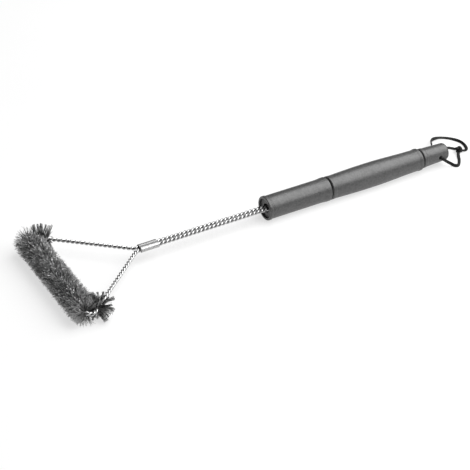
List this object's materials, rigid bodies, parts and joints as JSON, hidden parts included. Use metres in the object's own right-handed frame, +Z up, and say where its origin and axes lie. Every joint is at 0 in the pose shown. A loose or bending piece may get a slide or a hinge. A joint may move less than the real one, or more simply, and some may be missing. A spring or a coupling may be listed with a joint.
{
  "type": "grill cleaning brush",
  "caption": "Three-sided wire grill brush: bristle head on a triangle of twisted steel wire, crimped neck, round plastic handle and a black lace loop.",
  "frame": {"origin": "middle of the object's footprint on the surface that it lies on, without the lace", "axes": "+X along the handle from the bristle head to the rear end, +Z up from the surface, +Y to the right of someone who holds the handle and looks towards the head"},
  "size_m": [0.5816, 0.179, 0.0315],
  "materials": {
    "wire_steel": "bright drawn stainless wire",
    "bristle_steel": "fine crimped stainless wire, dark between the strands and lighter at the tips",
    "ferrule_steel": "satin sheet, creased where it is crimped",
    "handle_plastic": "dark grey, fine moulded texture with a soft sheen",
    "plug_plastic": "darker grey, plain moulded",
    "lace_leather": "black, waxed"
  },
  "bodies": {
    "brush": {"core_wire_a": "wire_steel", "core_wire_b": "wire_steel", "head_bristles": "bristle_steel", "right_corner_bristles": "bristle_steel", "left_corner_bristles": "bristle_steel", "neck_ferrule": "ferrule_steel", "front_plug": "plug_plastic", "front_sleeve": "handle_plastic", "centre_grip": "handle_plastic", "handle_core": "handle_plastic", "stem_anchor": "ferrule_steel", "anchor_pin": "wire_steel"},
    "lace": {"lace_loop": "lace_leather", "lace_knot": "lace_leather", "lace_tail": "lace_leather"}
  },
  "joints": [
    {"name": "loop_swing", "type": "hinge", "parent": "brush", "child": "lace", "pos_m": [0.253, 0, 0.015], "axis": [0, -1, 0], "range_deg": [0, 110]}
  ]
}
